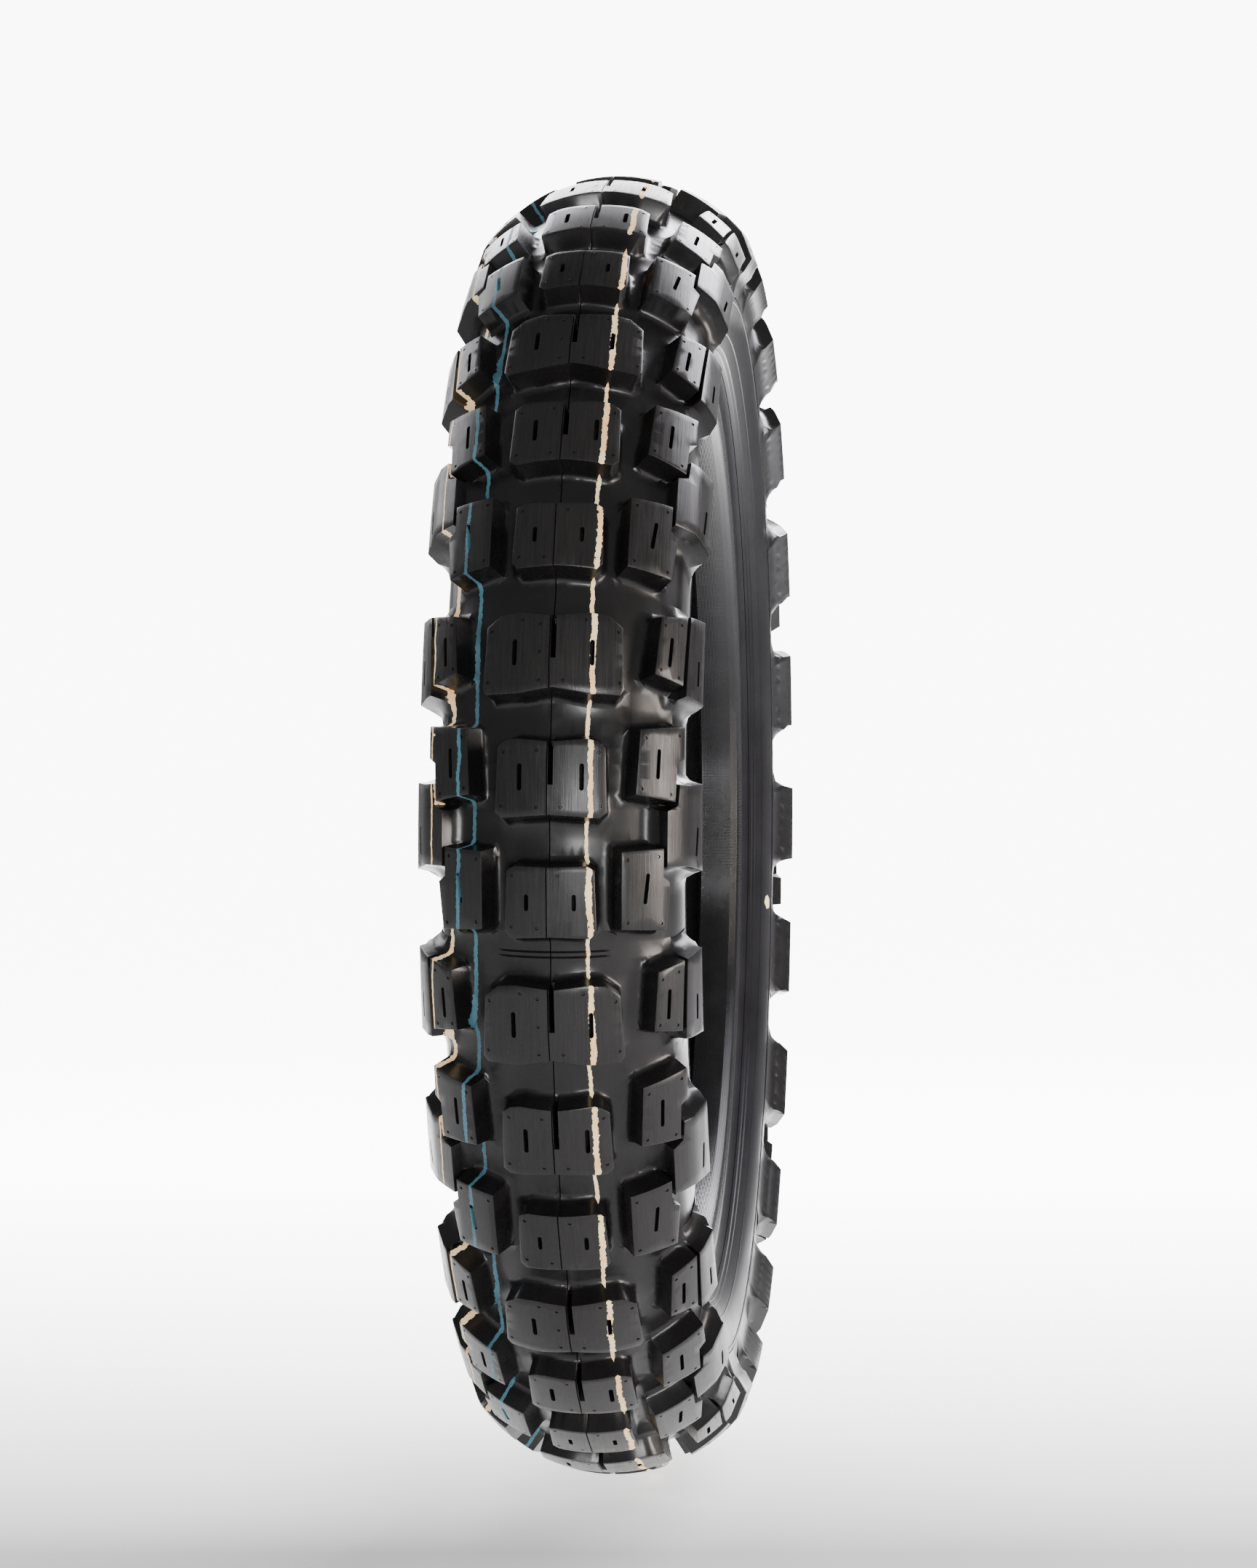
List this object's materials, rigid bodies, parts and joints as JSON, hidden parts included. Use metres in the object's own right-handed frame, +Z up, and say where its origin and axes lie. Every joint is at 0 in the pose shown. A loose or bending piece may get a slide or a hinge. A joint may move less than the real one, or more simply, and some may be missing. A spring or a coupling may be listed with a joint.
{
  "type": "motorcycle tyre",
  "caption": "Knobbly off-road motorcycle tyre with stepped shoulder blocks, built from its vulcanised layers: tread, breakers, body plies, beads, sidewalls and liner.",
  "frame": {"origin": "wheel centre: the point on the wheel axis in the tyre's centre plane", "axes": "+Y along the wheel axis towards the right sidewall, +Z up, +X horizontal through the tread"},
  "size_m": [0.68, 0.1364, 0.68],
  "materials": {
    "tread_rubber": "satin black moulded tread rubber with fine grain and slight bloom",
    "sidewall_rubber": "smooth satin black moulded rubber",
    "liner_rubber": "matt black butyl with faint ply texture",
    "ply_cord": "rubber-coated nylon cord",
    "chafer_rubber": "black rubber with woven chafer fabric imprint",
    "bead_wire": "bronze-coated steel wire"
  },
  "bodies": {
    "root": {"bead_bundle_left": "bead_wire", "bead_bundle_right": "bead_wire", "bead_filler_left": "sidewall_rubber", "bead_filler_right": "sidewall_rubber", "bead_wrap_left": "ply_cord", "bead_wrap_right": "ply_cord", "body_ply_inner": "ply_cord", "body_ply_outer": "ply_cord", "breaker_ply_inner": "ply_cord", "breaker_ply_outer": "ply_cord", "chafer_left": "chafer_rubber", "chafer_right": "chafer_rubber", "inner_liner": "liner_rubber", "rim_cushion_left": "sidewall_rubber", "rim_cushion_right": "sidewall_rubber", "shoulder_wedge_left": "sidewall_rubber", "shoulder_wedge_right": "sidewall_rubber", "sidewall_left": "sidewall_rubber", "sidewall_right": "sidewall_rubber", "tread_cap": "tread_rubber", "undertread": "sidewall_rubber"}
  },
  "joints": []
}
